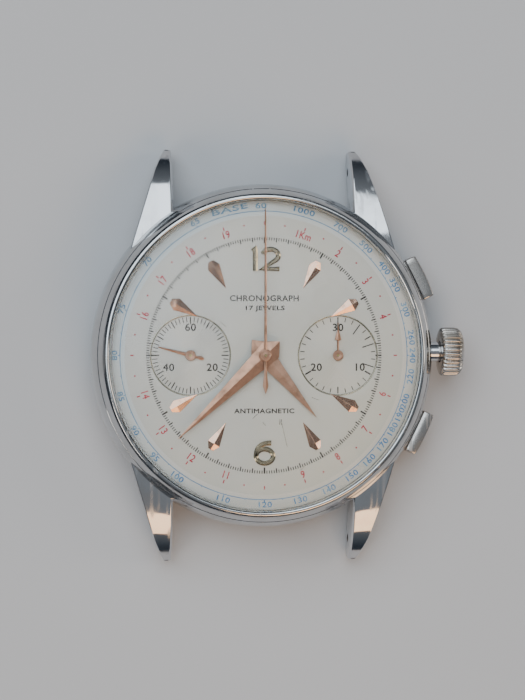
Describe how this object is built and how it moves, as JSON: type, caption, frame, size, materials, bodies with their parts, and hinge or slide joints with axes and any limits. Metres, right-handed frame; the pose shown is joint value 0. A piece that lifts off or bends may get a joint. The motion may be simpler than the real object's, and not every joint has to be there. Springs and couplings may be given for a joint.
{
  "type": "wrist chronograph head",
  "caption": "Round steel chronograph watch head with polished lugs, a fluted crown, rectangular pushers, register dials and a hand wound movement under a domed crystal.",
  "frame": {"origin": "middle of the case back's flat outer face, on the axis of the centre hands", "axes": "+X towards three o'clock and the crown, +Y towards twelve o'clock, +Z out of the dial towards the crystal"},
  "size_m": [0.0416, 0.0458, 0.0119],
  "materials": {
    "case_steel": "polished steel, finely scratched",
    "crystal": "clear moulded acrylic",
    "dial_silver": "fine matt silvering",
    "rose_gold": "polished rose gold plate, worn",
    "gilt_plates": "gilt, fine grain",
    "wheel_brass": "polished brass",
    "steel_work": "ground steel",
    "spring_steel": "hardened spring steel",
    "jewel_red": "polished synthetic ruby"
  },
  "bodies": {
    "case": {"case_band": "case_steel", "lugs": "case_steel", "bezel": "case_steel", "crystal": "crystal", "case_back": "case_steel", "case_tubes": "case_steel", "case_clamps": "case_steel", "dial": "dial_silver", "hour_markers": "rose_gold", "main_plate": "gilt_plates", "barrel_bridge": "gilt_plates", "train_bridge": "gilt_plates", "balance_cock": "gilt_plates", "pallet_cock": "gilt_plates", "chrono_bridge": "gilt_plates", "keyless_cover": "steel_work", "movement_screws": "steel_work", "jewels": "jewel_red", "start_spring": "spring_steel", "reset_spring": "spring_steel", "hairspring": "spring_steel"},
    "small_seconds": {"fourth_wheel": "wheel_brass", "small_seconds_hand": "rose_gold"},
    "minutes": {"centre_wheel": "wheel_brass", "cannon_pinion": "steel_work", "minute_hand": "rose_gold"},
    "hours": {"hour_wheel": "wheel_brass", "hour_hand": "rose_gold"},
    "third": {"third_wheel": "wheel_brass"},
    "escape": {"escape_wheel": "steel_work"},
    "barrel": {"barrel": "wheel_brass", "mainspring": "spring_steel"},
    "minute_wheel": {"minute_wheel": "wheel_brass"},
    "setting_idler": {"setting_idler": "steel_work"},
    "setting_wheel": {"setting_wheel": "steel_work"},
    "coupling_lever": {"coupling_lever": "steel_work"},
    "coupling_wheel": {"coupling_wheel": "wheel_brass"},
    "chrono_seconds": {"chrono_runner": "wheel_brass", "chrono_seconds_hand": "rose_gold"},
    "minute_counter": {"minute_runner": "wheel_brass", "minute_counter_hand": "rose_gold"},
    "counter_idler": {"counter_idler": "wheel_brass"},
    "winding_pinion": {"winding_pinion": "steel_work"},
    "crown_and_stem": {"crown": "case_steel", "winding_stem": "steel_work"},
    "clutch": {"clutch_wheel": "steel_work"},
    "crown_wheel": {"crown_wheel": "steel_work"},
    "winding_wheel": {"winding_wheel": "steel_work"},
    "ratchet": {"ratchet_wheel": "steel_work", "barrel_arbor": "steel_work"},
    "click": {"click": "steel_work"},
    "setting_lever": {"setting_lever": "steel_work"},
    "yoke": {"yoke": "steel_work"},
    "start_pusher": {"start_pusher": "case_steel"},
    "reset_pusher": {"reset_pusher": "case_steel"},
    "operating_lever": {"operating_lever": "steel_work"},
    "cam": {"chrono_cam": "steel_work"},
    "hammer": {"reset_hammer": "steel_work"},
    "balance": {"balance_wheel": "wheel_brass"},
    "pallet_fork": {"pallet_fork": "steel_work"}
  },
  "joints": [
    {"name": "small_seconds_turn", "type": "hinge", "parent": "case", "child": "small_seconds", "pos_m": [-0.0081, 0, 0], "axis": [0, 0, -1], "continuous": true},
    {"name": "minutes_turn", "type": "hinge", "parent": "case", "child": "minutes", "pos_m": [0, 0, 0], "axis": [0, 0, -1], "continuous": true},
    {"name": "hours_turn", "type": "hinge", "parent": "case", "child": "hours", "pos_m": [0, 0, 0], "axis": [0, 0, -1], "continuous": true},
    {"name": "third_turn", "type": "hinge", "parent": "case", "child": "third", "pos_m": [-0.00473, -0.0026, 0], "axis": [0, 0, -1], "continuous": true},
    {"name": "escape_turn", "type": "hinge", "parent": "case", "child": "escape", "pos_m": [-0.00862, -0.0037, 0], "axis": [0, 0, -1], "continuous": true},
    {"name": "barrel_turn", "type": "hinge", "parent": "case", "child": "barrel", "pos_m": [0.00393, 0.0063, 0], "axis": [0, 0, -1], "continuous": true},
    {"name": "minute_wheel_turn", "type": "hinge", "parent": "case", "child": "minute_wheel", "pos_m": [0.00221, 0.00221, 0], "axis": [0, 0, -1], "continuous": true},
    {"name": "setting_idler_turn", "type": "hinge", "parent": "case", "child": "setting_idler", "pos_m": [0.00542, 0.00324, 0], "axis": [0, 0, -1], "continuous": true},
    {"name": "setting_wheel_turn", "type": "hinge", "parent": "case", "child": "setting_wheel", "pos_m": [0.00795, 0.0022, 0], "axis": [0, 0, -1], "continuous": true},
    {"name": "coupling_wheel_turn", "type": "hinge", "parent": "coupling_lever", "child": "coupling_wheel", "pos_m": [-0.00411, 0, 0], "axis": [0, 0, -1], "continuous": true},
    {"name": "chrono_seconds_turn", "type": "hinge", "parent": "case", "child": "chrono_seconds", "pos_m": [0, 0, 0], "axis": [0, 0, -1], "continuous": true},
    {"name": "minute_counter_turn", "type": "hinge", "parent": "case", "child": "minute_counter", "pos_m": [0.0081, 0, 0], "axis": [0, 0, -1], "continuous": true},
    {"name": "counter_idler_turn", "type": "hinge", "parent": "case", "child": "counter_idler", "pos_m": [0.00475, -0.00096, 0], "axis": [0, 0, -1], "continuous": true},
    {"name": "crown_turn", "type": "hinge", "parent": "case", "child": "winding_pinion", "pos_m": [0.011, 0.0004, 0.0047], "axis": [1, 0, 0], "continuous": true},
    {"name": "crown_pull", "type": "slide", "parent": "winding_pinion", "child": "crown_and_stem", "axis": [1, 0, 0], "range_m": [0, 0.0007]},
    {"name": "clutch_slide", "type": "slide", "parent": "winding_pinion", "child": "clutch", "axis": [1, 0, 0], "range_m": [-0.00062, 0.00001]},
    {"name": "crown_wheel_turn", "type": "hinge", "parent": "case", "child": "crown_wheel", "pos_m": [0.0131, 0.0004, 0], "axis": [0, 0, 1], "continuous": true},
    {"name": "winding_wheel_turn", "type": "hinge", "parent": "case", "child": "winding_wheel", "pos_m": [0.01003, 0.00347, 0], "axis": [0, 0, 1], "continuous": true},
    {"name": "ratchet_turn", "type": "hinge", "parent": "case", "child": "ratchet", "pos_m": [0.00393, 0.0063, 0], "axis": [0, 0, 1], "continuous": true},
    {"name": "click_lift", "type": "hinge", "parent": "case", "child": "click", "pos_m": [-0.0016, 0.0099, 0], "axis": [0, 0, 1], "range_deg": [0, 8]},
    {"name": "setting_lever_turn", "type": "hinge", "parent": "case", "child": "setting_lever", "pos_m": [0.01315, 0.0029, 0], "axis": [0, 0, 1], "range_deg": [-1, 17]},
    {"name": "yoke_turn", "type": "hinge", "parent": "case", "child": "yoke", "pos_m": [0.0116, -0.0032, 0], "axis": [0, 0, 1], "range_deg": [-1, 11]},
    {"name": "start_push", "type": "slide", "parent": "case", "child": "start_pusher", "axis": [-0.8988, -0.4384, 0], "range_m": [0, 0.0008], "stiffness_N_per_m": 3000, "springref_m": -0.0004, "deforming": ["start_spring"]},
    {"name": "reset_push", "type": "slide", "parent": "case", "child": "reset_pusher", "axis": [-0.8988, 0.4384, 0], "range_m": [0, 0.0008], "stiffness_N_per_m": 3000, "springref_m": -0.0004, "deforming": ["reset_spring"]},
    {"name": "operating_lever_turn", "type": "hinge", "parent": "case", "child": "operating_lever", "pos_m": [0.0088, 0.0096, 0], "axis": [0, 0, 1], "range_deg": [-11, 1]},
    {"name": "cam_turn", "type": "hinge", "parent": "case", "child": "cam", "pos_m": [0.0022, 0.0119, 0], "axis": [0, 0, 1], "range_deg": [-1, 32]},
    {"name": "coupling_lever_turn", "type": "hinge", "parent": "case", "child": "coupling_lever", "pos_m": [-0.006, 0.0056, 0], "axis": [0, 0, 1], "range_deg": [-1, 2]},
    {"name": "hammer_turn", "type": "hinge", "parent": "case", "child": "hammer", "pos_m": [0.0065, -0.0095, 0], "axis": [0, 0, 1], "range_deg": [-1, 9]},
    {"name": "balance_swing", "type": "hinge", "parent": "case", "child": "balance", "pos_m": [-0.0044, -0.0094, 0], "axis": [0, 0, 1], "range_deg": [-270, 270], "stiffness_Nm_per_rad": 0.0000004, "deforming": ["hairspring"]},
    {"name": "pallet_swing", "type": "hinge", "parent": "case", "child": "pallet_fork", "pos_m": [-0.00692, -0.00599, 0], "axis": [0, 0, 1], "range_deg": [-4, 4]}
  ],
  "couplings": [
    {"joint": "minutes_turn", "follows": "small_seconds_turn", "ratio": 0.016667},
    {"joint": "hours_turn", "follows": "small_seconds_turn", "ratio": 0.0013889},
    {"joint": "third_turn", "follows": "small_seconds_turn", "ratio": -0.13333},
    {"joint": "escape_turn", "follows": "small_seconds_turn", "ratio": -10},
    {"joint": "barrel_turn", "follows": "small_seconds_turn", "ratio": -0.0025641},
    {"joint": "minute_wheel_turn", "follows": "small_seconds_turn", "ratio": -0.0055556},
    {"joint": "setting_idler_turn", "follows": "small_seconds_turn", "ratio": 0.0125},
    {"joint": "setting_wheel_turn", "follows": "small_seconds_turn", "ratio": -0.0076923},
    {"joint": "coupling_wheel_turn", "follows": "small_seconds_turn", "ratio": -2.8571},
    {"joint": "minute_counter_turn", "follows": "chrono_seconds_turn", "ratio": 0.033333},
    {"joint": "counter_idler_turn", "follows": "chrono_seconds_turn", "ratio": -0.035714},
    {"joint": "crown_wheel_turn", "follows": "crown_turn", "ratio": -0.625},
    {"joint": "winding_wheel_turn", "follows": "crown_turn", "ratio": 0.66667},
    {"joint": "ratchet_turn", "follows": "crown_turn", "ratio": -0.30303},
    {"joint": "clutch_slide", "follows": "crown_pull", "ratio": -0.85714},
    {"joint": "setting_lever_turn", "follows": "crown_pull", "rad_per_m": 400},
    {"joint": "yoke_turn", "follows": "crown_pull", "rad_per_m": 238.6},
    {"joint": "operating_lever_turn", "follows": "start_push", "rad_per_m": -210},
    {"joint": "cam_turn", "follows": "start_push", "rad_per_m": 654.5},
    {"joint": "coupling_lever_turn", "follows": "start_push", "rad_per_m": 13.4},
    {"joint": "hammer_turn", "follows": "reset_push", "rad_per_m": 175.9}
  ]
}
